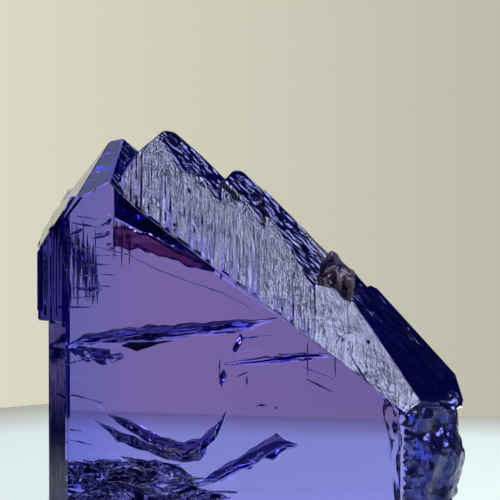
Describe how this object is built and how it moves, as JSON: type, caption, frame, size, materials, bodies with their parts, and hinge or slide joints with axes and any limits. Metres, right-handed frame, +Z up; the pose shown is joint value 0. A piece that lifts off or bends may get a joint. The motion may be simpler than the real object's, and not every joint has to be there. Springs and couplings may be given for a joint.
{
  "type": "rough tanzanite crystal",
  "caption": "Clear blue-violet crystal, a flat-sided slab with a stepped, sloping roof of peaks, ribbed left side, lumpy broken right end, standing on its broken base.",
  "frame": {"origin": "middle of the bounding box, at the level of the flat spot it stands on", "axes": "+X to the right across the broad front face, towards the low, lumpy end; +Y to the back, through the thickness of the slab; +Z up along the crystal"},
  "size_m": [0.0252, 0.0116, 0.0265],
  "materials": {
    "tanzanite": "clear, blue-violet, vitreous, with natural faces"
  },
  "bodies": {
    "root": {"tanzanite_crystal": "tanzanite"}
  },
  "joints": []
}
